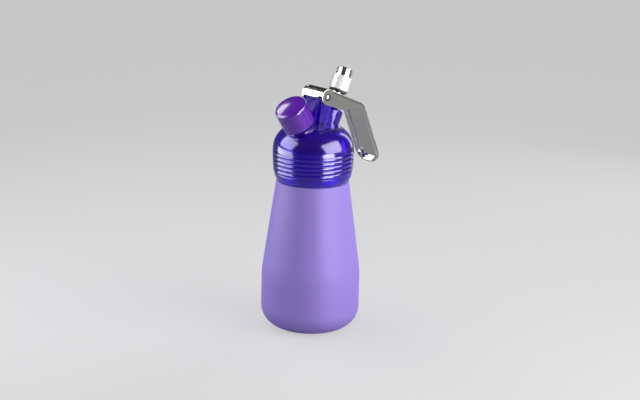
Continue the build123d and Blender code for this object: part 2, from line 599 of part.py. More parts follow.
def nozzle_tip():
    """Threaded end for decorating tips: shank inside the sleeve, collar on it, thread above."""
    socket_r = STEM_R + SEAT_GAP
    low = SLEEVE_TOP - TIP_SHANK_LEN + SEAT_GAP
    thread_r = TIP_CORE_R + TIP_THREAD_H
    body = turned(
        (socket_r, low), (TIP_SHANK_R, low), (TIP_SHANK_R, TIP_LOW), (thread_r, TIP_LOW),
        (thread_r, TIP_LOW + TIP_COLLAR_T), (TIP_CORE_R, TIP_LOW + TIP_COLLAR_T),
        (TIP_CORE_R, TIP_TOP - TIP_CHAMFER), (TIP_CORE_R - TIP_CHAMFER, TIP_TOP),
        (TIP_BORE_R, TIP_TOP), (TIP_BORE_R, STEM_TOP + SEAT_GAP), (socket_r, STEM_TOP + SEAT_GAP),
    )
    ridge = thread_ridge(TIP_CORE_R, thread_r, TIP_PITCH, TIP_TURNS, TIP_ROOT_W, TIP_CREST_W)
    return VALVE * (body + Pos(0, 0, TIP_LOW + TIP_COLLAR_T + TIP_ROOT_W / 2) * ridge)


def lever_directions():
    """Directions along and out of the handle, and the outer corner, in the arm's frame."""
    turn = math.radians(HANDLE_TURN)
    along = Vector(math.cos(turn), -math.sin(turn))
    outward = Vector(math.sin(turn), math.cos(turn))
    return along, outward, Vector(ARM_LENGTH, CHEEK_TOP)


def side_face(points, rounds):
    """Face in the XZ plane from (x, z) points; rounds maps a point's index to its fillet."""
    outline = Polyline(*[(p[0], 0, p[1]) for p in points], close=True)
    face = make_face(outline)
    for index, radius in rounds.items():
        near = (points[index][0], 0, points[index][1])
        face = fillet(face.vertices().sort_by_distance(near)[0], radius)
    return face


def lever_blank():
    """Arm, bend and handle at the lever's full width, solid and with sharp edges."""
    along, outward, corner = lever_directions()
    tip = corner + along * HANDLE_LENGTH
    taper = math.radians(CHEEK_TAPER)
    low_start = Vector(CHEEK_R * math.sin(taper), CHEEK_RAISE - CHEEK_R * math.cos(taper))
    low_end = low_start + Vector(math.cos(taper), math.sin(taper)) * CHEEK_STRAIGHT
    points = [
        (0, CHEEK_TOP), tuple(corner)[:2], tuple(tip)[:2], tuple(tip - outward * FLANGE_DEPTH)[:2],
        tuple(corner - outward * FLANGE_DEPTH)[:2], tuple(low_end)[:2], tuple(low_start)[:2],
    ]
    side = side_face(points, {1: BEND_ROUND, 4: BEND_INNER_ROUND, 5: CHEEK_ROUND})
    return extrude(side, LEVER_HALF_W, both=True)


def handle_frame():
    """Frame of the handle: origin at the bend's outer corner, X to the tip, Z outwards."""
    along, outward, corner = lever_directions()
    return Plane(origin=(corner.X, 0, corner.Y), x_dir=(along.X, 0, along.Y),
                 z_dir=(outward.X, 0, outward.Y)).location


def handle_plan(half_width, end, tip_round):
    """Plan of the handle from its bend to its rounded tip, in its own frame."""
    plan = Pos(end / 2, 0) * Rectangle(end, 2 * half_width)
    return fillet(plan.vertices().group_by(Axis.X)[-1], tip_round)


def lever_room():
    """Space inside the lever: under the web, round the pivot and in the handle's tray."""
    along, outward, corner = lever_directions()
    half_w = CHANNEL_HALF_W
    end = math.radians(ROLL_END)
    reach = 4 * CHEEK_R
    inner_corner = (ARM_LENGTH - LEVER_WALL * math.tan(math.radians(HANDLE_TURN) / 2), WEB_UNDER)
    far = Vector(*inner_corner) + along * (HANDLE_LENGTH / 2)
    roll_end = (reach * math.cos(end), ROLL_RAISE + reach * math.sin(end))
    points = [
        (0, WEB_UNDER), inner_corner, tuple(far)[:2], tuple(far - outward * reach)[:2],
        (0, -2 * reach), (roll_end[0], -2 * reach), roll_end, (0, ROLL_RAISE),
    ]
    side = side_face(points, {1: BEND_ROUND - LEVER_WALL})
    roll = Pos(0, 0, ROLL_RAISE) * Rot(90, 0, 0) * Cylinder(ROLL_R - LEVER_WALL, 2 * half_w)
    room = extrude(side, half_w, both=True)
    plan = handle_plan(half_w, HANDLE_LENGTH - LEVER_WALL, TIP_ROUND - LEVER_WALL)
    tray = handle_frame() * Pos(0, 0, -LEVER_WALL - reach) * extrude(plan, reach)
    keep_arm = handle_frame() * Pos(HANDLE_LENGTH / 3, 0, 0) * Box(
        HANDLE_LENGTH, 4 * half_w, 4 * reach, align=(Align.MIN, Align.CENTER, Align.CENTER))
    room += tray & keep_arm
    return fillet([e for e in room.edges() if web_corner(e)], TRAY_ROUND) + roll


def lever():
    """Chrome lever: a pressed channel whose web is rolled over the pivot and holed for the stem."""
    body = lever_blank()
    plan = handle_plan(LEVER_HALF_W, HANDLE_LENGTH, TIP_ROUND)
    outside = extrude(plan, 4 * CHEEK_R, both=True)
    tip_zone = Pos(HANDLE_LENGTH / 2, 0, 0) * Box(
        HANDLE_LENGTH, 4 * LEVER_HALF_W, 6 * CHEEK_R, align=(Align.MIN, Align.CENTER, Align.CENTER))
    body -= handle_frame() * (tip_zone - outside)
    body = fillet([e for e in body.edges() if outer_rim(e)], EDGE_ROUND)
    body = fillet([e for e in body.edges() if free_rim(e)], RIM_ROUND)
    ears = Cylinder(CHEEK_R, 2 * LEVER_HALF_W)
    ears = fillet(ears.edges().filter_by(GeomType.CIRCLE), RIM_ROUND)
    body += Pos(0, 0, CHEEK_RAISE) * Rot(90, 0, 0) * ears
    body -= lever_room()
    front = Rot(90, 0, 0) * Cylinder(2 * CHEEK_R, 2 * CHANNEL_HALF_W)
    front -= Pos(0, 0, ROLL_RAISE) * Rot(90, 0, 0) * Cylinder(ROLL_R, 2 * LEVER_HALF_W)
    front &= Pos(-2 * CHEEK_R, 0, 0) * Box(4 * CHEEK_R, 4 * LEVER_HALF_W, 8 * CHEEK_R)
    body -= front
    body -= ARM.inverse() * VALVE * rod(STEM_R + WEB_HOLE_GAP, 0, 2 * CHEEK_R)
    body -= Rot(90, 0, 0) * Cylinder(PIN_R + SEAT_GAP, 4 * LEVER_HALF_W)
    return ARM * body


def outer_rim(edge):
    """Whether an edge lies along the outer side of the arm, the bend or the handle's back."""
    along, outward, corner = lever_directions()
    middle = edge @ 0.5
    on_side = abs(abs(middle.Y) - LEVER_HALF_W) < 0.01
    flat = Vector(middle.X, middle.Z) - corner
    on_arm = abs(flat.Y) < 0.01 and flat.X < 0
    on_handle = abs(flat.dot(outward)) < 0.01
    in_bend = on_side and abs(flat.X) < BEND_ROUND and flat.dot(outward) > -FLANGE_DEPTH / 2
    return (on_side and on_arm) or (on_handle and not crosses(edge, LEVER_HALF_W)) or in_bend


def free_rim(edge):
    """Whether an edge lies along the cheeks' lower edge or the free edge of the handle's rim."""
    along, outward, corner = lever_directions()
    middle = edge @ 0.5
    flat = Vector(middle.X, middle.Z) - corner
    below = flat.Y < -2 * EDGE_ROUND and flat.dot(outward) < 0.01 - FLANGE_DEPTH
    return below and middle.X > LEVER_WALL and not crosses(edge, LEVER_HALF_W)


def web_corner(edge):
    """Whether an edge of the lever's inner space lies where the web meets a cheek or the tray's rim."""
    along, outward, corner = lever_directions()
    middle = edge @ 0.5
    flat = Vector(middle.X, middle.Z) - corner
    at_cheek = abs(abs(middle.Y) - CHANNEL_HALF_W) < 0.01
    under_arm = abs(middle.Z - WEB_UNDER) < 0.01
    in_bend = abs(flat.X) < BEND_ROUND and abs(flat.Y) < BEND_ROUND
    on_floor = abs(flat.dot(outward) + LEVER_WALL) < 0.01
    return at_cheek and (under_arm or in_bend) or on_floor and not crosses(edge, CHANNEL_HALF_W)


def crosses(edge, half_width):
    """Whether an edge runs from one side of a space or piece of that half width to the other."""
    return abs((edge @ 0).Y - (edge @ 1).Y) > 2 * half_width - 0.1


def pivot_pin():
    """Rivet pin through both cheeks, with a low domed head at each end."""
    head_r = PIN_R + PIN_HEAD_RIM
    face = LEVER_HALF_W + SEAT_GAP
    dome_r = (head_r ** 2 + PIN_HEAD_H ** 2) / (2 * PIN_HEAD_H)
    pin = Cylinder(PIN_R, 2 * face)
    dome = Pos(0, 0, face + PIN_HEAD_H - dome_r) * Sphere(dome_r)
    dome &= rod(head_r, face, face + 2 * PIN_HEAD_H)
    return ARM * Rot(90, 0, 0) * (pin + dome + Rot(180, 0, 0) * dome)


def pivot_bushes():
    """Two flanged bushes in the pivot block."""
    seat = BLOCK_HALF_W + SEAT_GAP
    bore_r = PIN_R + RUNNING_GAP
    flange_r = PIVOT_BUSH_R + BUSH_FLANGE_RIM
    bush = turned(
        (bore_r, seat - BUSH_LENGTH), (PIVOT_BUSH_R, seat - BUSH_LENGTH), (PIVOT_BUSH_R, seat),
        (flange_r, seat), (flange_r, seat + BUSH_FLANGE_T), (bore_r, seat + BUSH_FLANGE_T),
    )
    return ARM * Rot(90, 0, 0) * Compound([bush, Rot(180, 0, 0) * bush])


NODES = [
    bottle_shell, head_gasket, head_shell, inlet_stud, inlet_seal_ring, inlet_lock_nut, piercing_pin,
    check_valve_sleeve, charger_port_cap, cap_liner, valve_bush, bush_seal_ring, spring_washer,
    return_spring, valve_stem, stem_seal_ring, plug_seal, valve_plug, rocker_washer, stem_nut,
    nozzle_sleeve, nozzle_tip, lever, pivot_pin, pivot_bushes,
]

os.makedirs("parts", exist_ok=True)
for make in NODES:
    export_step(make(), f"parts/{make.__name__}.step")
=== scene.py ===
"""Looks of a small whipped cream dispenser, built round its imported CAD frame.

The frame gives every piece its place and size, in metres with +Z up. Each sub-assembly of the
dispenser is a class that dresses its pieces. The valve's class also makes the coil spring, because
the frame's own spring is rigid.
"""
from __future__ import annotations

import json
import logging
import math
from dataclasses import dataclass, field
from enum import Enum

import bmesh
import bpy
import numpy as np
from mathutils import Matrix, Vector

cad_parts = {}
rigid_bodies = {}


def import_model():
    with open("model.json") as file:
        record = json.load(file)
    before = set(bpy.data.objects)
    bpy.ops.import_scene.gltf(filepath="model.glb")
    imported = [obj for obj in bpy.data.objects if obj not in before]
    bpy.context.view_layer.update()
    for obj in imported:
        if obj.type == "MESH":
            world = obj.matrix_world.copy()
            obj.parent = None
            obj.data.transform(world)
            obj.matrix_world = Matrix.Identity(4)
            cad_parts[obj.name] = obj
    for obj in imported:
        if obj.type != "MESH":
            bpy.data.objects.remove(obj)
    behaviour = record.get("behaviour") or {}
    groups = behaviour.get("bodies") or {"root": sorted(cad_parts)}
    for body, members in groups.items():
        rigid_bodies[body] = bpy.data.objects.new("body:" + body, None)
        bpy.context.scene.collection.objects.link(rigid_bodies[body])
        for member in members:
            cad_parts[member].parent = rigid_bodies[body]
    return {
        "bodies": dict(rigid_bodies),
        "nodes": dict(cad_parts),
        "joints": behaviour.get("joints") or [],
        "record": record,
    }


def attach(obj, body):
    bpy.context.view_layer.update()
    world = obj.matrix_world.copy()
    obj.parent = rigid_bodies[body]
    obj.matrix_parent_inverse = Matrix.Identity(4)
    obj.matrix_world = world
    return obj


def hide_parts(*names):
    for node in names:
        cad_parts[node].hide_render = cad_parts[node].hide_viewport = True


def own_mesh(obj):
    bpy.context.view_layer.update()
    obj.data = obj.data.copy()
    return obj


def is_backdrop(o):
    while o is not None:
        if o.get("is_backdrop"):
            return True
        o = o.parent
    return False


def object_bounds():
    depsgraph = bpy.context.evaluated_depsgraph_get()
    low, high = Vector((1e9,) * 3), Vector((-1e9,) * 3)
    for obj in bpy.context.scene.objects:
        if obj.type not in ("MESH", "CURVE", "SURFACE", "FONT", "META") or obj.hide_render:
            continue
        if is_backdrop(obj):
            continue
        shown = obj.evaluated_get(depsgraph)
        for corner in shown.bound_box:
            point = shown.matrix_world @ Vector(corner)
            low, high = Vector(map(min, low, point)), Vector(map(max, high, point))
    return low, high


LOG = logging.getLogger("cream_dispenser")
MM = 0.001
Triple = tuple[float, float, float]
Colour = Triple
Span = tuple[float, float]
Box = tuple[Vector, Vector]

# Ends of a ramp that rises from 0 to 1, and of one that falls from 1 to 0.
WHOLE: Span = (0.0, 1.0)
FALLING: Span = (1.0, 0.0)
# The Mix node's inputs and output that serve colours.
MIX_SHARE, MIX_FIRST, MIX_SECOND = 0, 6, 7
MIX_RESULT = 2
# Radians of the Wave node's phase per metre, at scale 1.
WAVE_PHASE = 20.0


# ---------------------------------------------------------------- shader maths


class Socket:
    """A node's output. Where it gives a number, it takes part in Python arithmetic."""

    def __init__(self, book: NodeBook, link: bpy.types.NodeSocket) -> None:
        """Keeps the output and the book that its node is in."""
        self.book = book
        self.link = link

    def _join(self, operation: str, first: Socket | float, second: Socket | float) -> Socket:
        """Adds a Math node that does the operation on two numbers or Sockets."""
        return self.book.add("ShaderNodeMath", {"operation": operation}, {0: first, 1: second})

    def __add__(self, other: Socket | float) -> Socket:
        """self + other."""
        return self._join("ADD", self, other)

    def __radd__(self, other: Socket | float) -> Socket:
        """other + self."""
        return self._join("ADD", other, self)

    def __sub__(self, other: Socket | float) -> Socket:
        """self - other."""
        return self._join("SUBTRACT", self, other)

    def __rsub__(self, other: Socket | float) -> Socket:
        """other - self."""
        return self._join("SUBTRACT", other, self)

    def __mul__(self, other: Socket | float) -> Socket:
        """self * other."""
        return self._join("MULTIPLY", self, other)

    def __rmul__(self, other: Socket | float) -> Socket:
        """other * self."""
        return self._join("MULTIPLY", other, self)


class Ray(Enum):
    """Kinds of ray that the Light Path node tells apart, by the names of its outputs."""

    CAMERA = "Is Camera Ray"
    GLOSSY = "Is Glossy Ray"
    TRANSMISSION = "Is Transmission Ray"


class NodeBook:
    """A node tree under construction."""

    def __init__(self, tree: bpy.types.NodeTree) -> None:
        """Keeps the tree."""
        self.tree = tree

    def node(self, kind: str, settings: dict, inputs: dict) -> bpy.types.Node:
        """Adds a node.

        Args:
            kind: Blender's name of the node's type.
            settings: properties of the node, set before its sockets.
            inputs: socket name or number to a value, a colour or a Socket.

        Returns:
            The node.
        """
        node = self.tree.nodes.new(kind)
        for key, value in settings.items():
            setattr(node, key, value)
        for key, value in inputs.items():
            self.feed(node.inputs[key], value)
        return node

    def add(self, kind: str, settings: dict, inputs: dict, output: int | str = 0) -> Socket:
        """Adds a node as node() does, and returns its output of that name or number."""
        return Socket(self, self.node(kind, settings, inputs).outputs[output])

    def feed(self, target: bpy.types.NodeSocket, value: Socket | float | tuple) -> None:
        """Links a Socket to an input, or writes a plain value into it.

        Args:
            target: the input.
            value: a Socket, a number, a vector, or a colour with or without its alpha.
        """
        if isinstance(value, Socket):
            self.tree.links.new(value.link, target)
        elif target.type == "RGBA" and len(value) == 3:
            target.default_value = (*value, 1.0)
        else:
            target.default_value = value

    def larger(self, first: Socket | float, second: Socket | float) -> Socket:
        """The larger of two numbers."""
        return self.add("ShaderNodeMath", {"operation": "MAXIMUM"}, {0: first, 1: second})

    def ray(self, kind: Ray) -> Socket:
        """1 for a ray of that kind, and otherwise 0."""
        return self.add("ShaderNodeLightPath", {}, {}, kind.value)

    def seen_plainly(self) -> Socket:
        """1 for a ray from the camera, also once it has gone through clear plastic."""
        return self.larger(self.ray(Ray.CAMERA), self.ray(Ray.TRANSMISSION))


@dataclass(frozen=True)
class Grain:
    """A fractal noise: features per metre, octaves of detail, and how strong the fine ones are."""

    per_metre: float
    detail: float = 2.0
    rough: float = 0.5


class MaterialBook(NodeBook):
    """One material under construction, with its Principled shader."""

    def __init__(self, name: str) -> None:
        """Starts a material with a Principled shader and an output.

        Args:
            name: the material's name.
        """
        self.material = bpy.data.materials.new(name)
        self.material.use_nodes = True
        super().__init__(self.material.node_tree)
        self.tree.nodes.clear()
        self.shader = self.node("ShaderNodeBsdfPrincipled", {}, {})
        self.surface = Socket(self, self.shader.outputs["BSDF"])
        self.output = self.node("ShaderNodeOutputMaterial", {}, {"Surface": self.surface})

    def set(self, **values: Socket | float | tuple) -> None:
        """Sets sockets of the Principled shader; an underscore in a name stands for a space."""
        for key, value in values.items():
            self.feed(self.shader.inputs[key.replace("_", " ")], value)

    def glow(self, share: Socket, colour: Colour) -> None:
        """Lets the surface give off an even light of its own in place of what the lamps make it.

        Args:
            share: how much of the surface's light is its own, from 0 to 1.
            colour: the even light.
        """
        light = self.add("ShaderNodeEmission", {}, {"Color": colour, "Strength": 1.0})
        mixed = self.add("ShaderNodeMixShader", {}, {0: share, 1: self.surface, 2: light})
        self.feed(self.output.inputs["Surface"], mixed)

    def fill(self, colour: Colour, density: float) -> None:
        """Fills the piece with a tint that takes in light at that density per metre."""
        tint = {"Color": colour, "Density": density}
        self.feed(self.output.inputs["Volume"], self.add("ShaderNodeVolumeAbsorption", {}, tint))

    def place(self, packing: Triple = (1.0, 1.0, 1.0), turn: Triple = (0.0, 0.0, 0.0)) -> Socket:
        """Works out coordinates on the object in metres, for a pattern that is turned and packed.

        Args:
            packing: how close the pattern is along each axis, where less than 1 draws it out.
            turn: Euler angles of the pattern in radians.

        Returns:
            The coordinates.
        """
        where = self.add("ShaderNodeTexCoord", {}, {}, "Object")
        scale = tuple(1 / share for share in packing)
        return self.add("ShaderNodeMapping", {"vector_type": "TEXTURE"},
                        {"Vector": where, "Rotation": turn, "Scale": scale})

    def along(self, where: Socket, axis: str) -> Socket:
        """The coordinate on that axis, "X", "Y" or "Z"."""
        return self.add("ShaderNodeSeparateXYZ", {}, {"Vector": where}, axis)

    def noise(self, where: Socket, grain: Grain) -> Socket:
        """Fractal noise from 0 to 1."""
        return self.add("ShaderNodeTexNoise", {}, {
            "Vector": where, "Scale": grain.per_metre, "Detail": grain.detail,
            "Roughness": grain.rough})

    def ramp(self, value: Socket, reach: Span, result: Span = WHOLE) -> Socket:
        """Maps reach to result in a straight line, and holds result's ends outside it."""
        return self.add("ShaderNodeMapRange", {"clamp": True}, {
            "Value": value, "From Min": reach[0], "From Max": reach[1],
            "To Min": result[0], "To Max": result[1]})

    def blend(self, share: Socket, first: Socket | Colour, second: Socket | Colour) -> Socket:
        """Mixes two colours: first where share is 0, second where it is 1."""
        return self.add("ShaderNodeMix", {"data_type": "RGBA"},
                        {MIX_SHARE: share, MIX_FIRST: first, MIX_SECOND: second}, MIX_RESULT)

    def bump(self, height: Socket, depth: float) -> Socket:
        """Normal of a relief that is depth metres deep."""
        relief = {"Height": height, "Distance": depth, "Strength": 1.0}
        return self.add("ShaderNodeBump", {}, relief, "Normal")


def darker(colour: Colour, share: float) -> Colour:
    """The colour at that share of its brightness."""
    return tuple(channel * share for channel in colour)


# ---------------------------------------------------------------- finishes

# A band is the stretch of a noise's values over which a finish goes from one look to the other.


class Finish:
    """What all finishes share: a way to become a material."""

    def build(self, name: str) -> bpy.types.Material:
        """Makes a material of this finish.

        Args:
            name: the material's name.

        Returns:
            The finished material.
        """
        book = MaterialBook(name)
        self.paint(book)
        return book.material

    def paint(self, book: MaterialBook) -> None:
        """Sets the shader of the material under construction; each finish has its own."""
        raise NotImplementedError


@dataclass(frozen=True)
class SoftTouchLacquer(Finish):
    """Matte lavender lacquer with a velvety edge, fine grain and rubbed spots near the foot.

    It ends below the neck's thread, and the metal above it is bare.
    """

    colour: Colour = (0.318, 0.228, 0.720)
    rubbed: Colour = (0.47, 0.38, 0.80)
    bare_metal: Colour = (0.72, 0.72, 0.74)
    lacquer_top: float = 117.6 * MM
    lacquer_edge: float = 0.2 * MM
    roughness: Span = (0.47, 0.58)
    rubbed_polish: float = 0.15
    metal_polish: float = 0.10
    specular: float = 0.25
    velvet: float = 0.15
    velvet_roughness: float = 0.35
    velvet_tint: Colour = (0.80, 0.72, 1.0)
    cloud: Grain = Grain(55.0, 3.0)
    cloud_shade: float = 0.86
    tone_band: Span = (0.3, 0.7)
    tone_share: Span = (0.0, 0.16)
    rough_band: Span = (0.25, 0.75)
    rubs: Grain = Grain(420.0, 4.0, 0.65)
    rub_band: Span = (0.56, 0.70)
    rub_strength: float = 0.75
    rub_zone: Span = (0.5 * MM, 7.0 * MM)
    grain: Grain = Grain(5200.0, 2.0, 0.6)
    grain_depth: float = 0.018 * MM

    def paint(self, book: MaterialBook) -> None:
        """Sets the shader.

        Args:
            book: the material under construction.
        """
        where = book.place()
        height = book.along(where, "Z")
        cloud = book.noise(where, self.cloud)
        rubs = book.ramp(book.noise(where, self.rubs), self.rub_band)
        worn = book.ramp(height, self.rub_zone, FALLING) * rubs * self.rub_strength
        bare = book.ramp(height, (self.lacquer_top, self.lacquer_top + self.lacquer_edge))
        tone = book.ramp(cloud, self.tone_band, self.tone_share)
        lacquer = book.blend(tone, self.colour, darker(self.colour, self.cloud_shade))
        rough = book.ramp(cloud, self.rough_band, self.roughness)
        lacquer = book.blend(worn, lacquer, self.rubbed)
        book.set(Base_Color=book.blend(bare, lacquer, self.bare_metal),
                 Roughness=rough - worn * self.rubbed_polish - bare * self.metal_polish,
                 Metallic=bare, Specular_IOR_Level=self.specular, Sheen_Weight=self.velvet,
                 Sheen_Roughness=self.velvet_roughness, Sheen_Tint=self.velvet_tint,
                 Normal=book.bump(book.noise(where, self.grain), self.grain_depth))


@dataclass(frozen=True)
class TintedClear(Finish):
    """Polished see-through plastic whose tint deepens with its thickness.

    The block that holds the pin is satin on its side towards the charger port.
    """

    tint: Colour = (0.10, 0.012, 0.72)
    gleam_tint: Colour = (0.50, 0.36, 0.95)
    depth_colour: Colour = (0.35, 0.15, 0.85)
    density: float = 60.0
    clearness: float = 0.84
    ior: float = 1.52
    specular: float = 0.9
    skin_ior: float = 1.54
    skin_roughness: float = 0.16
    roughness: Span = (0.09, 0.12)
    satin_roughness: float = 0.10
    satin_side: float = 1.5 * MM
    satin_foot: float = 168.0 * MM
    satin_edge: float = 1.0 * MM
    haze: Grain = Grain(260.0, 3.0)
    haze_band: Span = (0.4, 0.75)
    ripple: Grain = Grain(90.0, 1.0)
    ripple_depth: float = 0.05 * MM

    def paint(self, book: MaterialBook) -> None:
        """Sets the shader.

        Args:
            book: the material under construction.
        """
        where = book.place()
        foot = (self.satin_foot, self.satin_foot + self.satin_edge)
        side = (self.satin_side, self.satin_side + self.satin_edge)
        above = book.ramp(book.along(where, "Z"), foot)
        block = above * book.ramp(book.along(where, "X"), side, FALLING)
        polished = book.ramp(book.noise(where, self.haze), self.haze_band, self.roughness)
        book.set(Base_Color=self.tint, Transmission_Weight=self.clearness, IOR=self.ior,
                 Specular_IOR_Level=self.specular, Specular_Tint=self.gleam_tint,
                 Coat_Weight=1.0 - block, Coat_IOR=self.skin_ior,
                 Coat_Roughness=self.skin_roughness,
                 Roughness=polished + block * self.satin_roughness,
                 Normal=book.bump(book.noise(where, self.ripple), self.ripple_depth))
        book.fill(self.depth_colour, self.density)


@dataclass(frozen=True)
class MouldedGloss(Finish):
    """Glossy moulded plastic that lets some light in, with faint flow marks and hairline rubs."""

    colour: Colour
    roughness: float
    scatter: float
    scatter_scale: float = 4.0 * MM
    scatter_radius: Triple = (1.0, 1.0, 1.0)
    gloss: float = 0.5
    skin: float = 0.0
    skin_ior: float = 1.6
    skin_roughness: float = 0.08
    flow: Grain = Grain(120.0, 2.0)
    flow_packing: Triple = (1.0, 1.0, 0.35)
    flow_shade: float = 0.88
    flow_roughness: float = 0.05
    tone_band: Span = (0.35, 0.65)
    rough_band: Span = (0.3, 0.7)
    flow_depth: float = 0.02 * MM
    rubs: Grain = Grain(900.0, 3.0, 0.7)
    rub_band: Span = (0.60, 0.75)
    rub_roughness: float = 0.08

    def paint(self, book: MaterialBook) -> None:
        """Sets the shader.

        Args:
            book: the material under construction.
        """
        flow = book.noise(book.place(self.flow_packing), self.flow)
        rubs = book.ramp(book.noise(book.place(), self.rubs), self.rub_band)
        tone = book.blend(book.ramp(flow, self.tone_band), self.colour,
                          darker(self.colour, self.flow_shade))
        rough = book.ramp(flow, self.rough_band,
                          (self.roughness, self.roughness + self.flow_roughness))
        book.set(Base_Color=tone, Roughness=rough + rubs * self.rub_roughness,
                 Subsurface_Weight=self.scatter, Subsurface_Scale=self.scatter_scale,
                 Subsurface_Radius=self.scatter_radius, Specular_IOR_Level=self.gloss,
                 Coat_Weight=self.skin, Coat_IOR=self.skin_ior, Coat_Roughness=self.skin_roughness,
                 Normal=book.bump(flow, self.flow_depth))


@dataclass(frozen=True)
class Plating(Finish):
    """Polished chrome plating with soft waviness, polishing haze and fine handling marks."""

    colour: Colour = (0.76, 0.76, 0.73)
    roughness: float = 0.09
    haze: float = 0.06
    cloud: Grain = Grain(140.0, 3.0)
    cloud_shade: float = 0.90
    tone_band: Span = (0.4, 0.7)
    tone_share: Span = (0.0, 0.35)
    rough_band: Span = (0.35, 0.70)
    wave_depth: float = 0.04 * MM
    marks: Grain = Grain(2400.0, 2.0, 0.6)
    mark_packing: Triple = (0.25, 1.0, 0.25)
    mark_band: Span = (0.58, 0.74)
    mark_roughness: float = 0.06

    def paint(self, book: MaterialBook) -> None:
        """Sets the shader.

        Args:
            book: the material under construction.
        """
        cloud = book.noise(book.place(), self.cloud)
        marks = book.ramp(book.noise(book.place(self.mark_packing), self.marks), self.mark_band)
        rough = book.ramp(cloud, self.rough_band, (self.roughness, self.roughness + self.haze))
        tone = book.blend(book.ramp(cloud, self.tone_band, self.tone_share), self.colour,
                          darker(self.colour, self.cloud_shade))
        book.set(Base_Color=tone, Metallic=1.0, Roughness=rough + marks * self.mark_roughness,
                 Normal=book.bump(cloud, self.wave_depth))


@dataclass(frozen=True)
class TurnedMetal(Finish):
    """Lathe-turned metal with fine rings round the axis that the piece was turned on.

    turn holds the Euler angles that bring +Z onto that axis. The rings are a sine along it, of
    ring_phase radians per metre, a little disturbed.
    """

    colour: Colour
    turn: Triple
    roughness: float = 0.24
    ring_phase: float = 4200.0
    ring_disturbance: float = 1.5
    ring_detail: float = 2.0
    ring_roughness: Span = (-0.05, 0.08)
    ring_depth: float = 0.006 * MM
    cloud: Grain = Grain(300.0, 3.0)
    cloud_shade: float = 0.82
    tone_band: Span = (0.3, 0.7)
    tone_share: Span = (0.0, 0.5)

    def paint(self, book: MaterialBook) -> None:
        """Sets the shader.

        Args:
            book: the material under construction.
        """
        rings = book.add("ShaderNodeTexWave", {"bands_direction": "Z", "wave_profile": "SIN"}, {
            "Vector": book.place(turn=self.turn), "Scale": self.ring_phase / WAVE_PHASE,
            "Distortion": self.ring_disturbance, "Detail": self.ring_detail}, "Fac")
        cloud = book.noise(book.place(), self.cloud)
        tone = book.blend(book.ramp(cloud, self.tone_band, self.tone_share), self.colour,
                          darker(self.colour, self.cloud_shade))
        smooth, dull = (self.roughness + change for change in self.ring_roughness)
        book.set(Base_Color=tone, Metallic=1.0, Roughness=book.ramp(rings, WHOLE, (smooth, dull)),
                 Normal=book.bump(rings, self.ring_depth))


@dataclass(frozen=True)
class Silicone(Finish):
    """Milky silicone with a satin skin and fine dust."""

    colour: Colour = (0.72, 0.70, 0.74)
    roughness: float = 0.42
    scatter: float = 0.4
    scatter_scale: float = 3.0 * MM
    scatter_radius: Triple = (1.0, 0.9, 0.9)
    dust: Grain = Grain(1500.0, 4.0, 0.7)
    dust_band: Span = (0.55, 0.75)
    dust_colour: Colour = (0.82, 0.82, 0.84)
    dust_share: float = 0.4
    dust_roughness: float = 0.2
    dust_depth: float = 0.01 * MM

    def paint(self, book: MaterialBook) -> None:
        """Sets the shader.

        Args:
            book: the material under construction.
        """
        dust = book.ramp(book.noise(book.place(), self.dust), self.dust_band)
        book.set(Base_Color=book.blend(dust * self.dust_share, self.colour, self.dust_colour),
                 Roughness=self.roughness + dust * self.dust_roughness,
                 Subsurface_Weight=self.scatter, Subsurface_Scale=self.scatter_scale,
                 Subsurface_Radius=self.scatter_radius, Normal=book.bump(dust, self.dust_depth))


@dataclass(frozen=True)
class PalePaper(Finish):
    """Plain pale studio floor with a barely visible tooth and an even tone of its own.

    The camera sees the even tone, also through clear plastic. Gloss mirrors a darker paper.
    """

    colour: Colour = (0.42, 0.42, 0.43)
    mirrored_colour: Colour = (0.30, 0.30, 0.31)
    even_tone: Colour = (0.98, 0.98, 0.99)
    even_share: float = 0.52
    specular: float = 0.2
    roughness: Span = (0.75, 0.9)
    tooth: Grain = Grain(900.0, 3.0)
    tooth_band: Span = (0.3, 0.7)
    tooth_depth: float = 0.02 * MM

    def paint(self, book: MaterialBook) -> None:
        """Sets the shader.

        Args:
            book: the material under construction.
        """
        tooth = book.noise(book.place(), self.tooth)
        book.set(Base_Color=book.blend(book.ray(Ray.GLOSSY), self.colour, self.mirrored_colour),
                 Roughness=book.ramp(tooth, self.tooth_band, self.roughness),
                 Specular_IOR_Level=self.specular, Normal=book.bump(tooth, self.tooth_depth))
        book.glow(book.seen_plainly() * self.even_share, self.even_tone)


LACQUER = SoftTouchLacquer()
VIOLET_CLEAR = TintedClear()
CAP_PURPLE = MouldedGloss((0.135, 0.014, 0.480), roughness=0.12, scatter=0.08,
                          scatter_scale=2.0 * MM, scatter_radius=(0.7, 0.4, 1.0), gloss=0.55,
                          skin=0.8)
SLEEVE_WHITE = MouldedGloss((0.98, 0.98, 0.97), roughness=0.22, scatter=0.25, gloss=0.8, skin=1.0,
                            flow_shade=0.97)
ACETAL = MouldedGloss((0.80, 0.79, 0.77), roughness=0.30, scatter=0.30)
LEVER_CHROME = Plating()
RIVET_CHROME = Plating((0.20, 0.20, 0.195), roughness=0.20, haze=0.03)
TIP_CHROME = Plating((0.86, 0.86, 0.85), roughness=0.12, haze=0.06)
SILICONE = Silicone()


# ---------------------------------------------------------------- surfaces


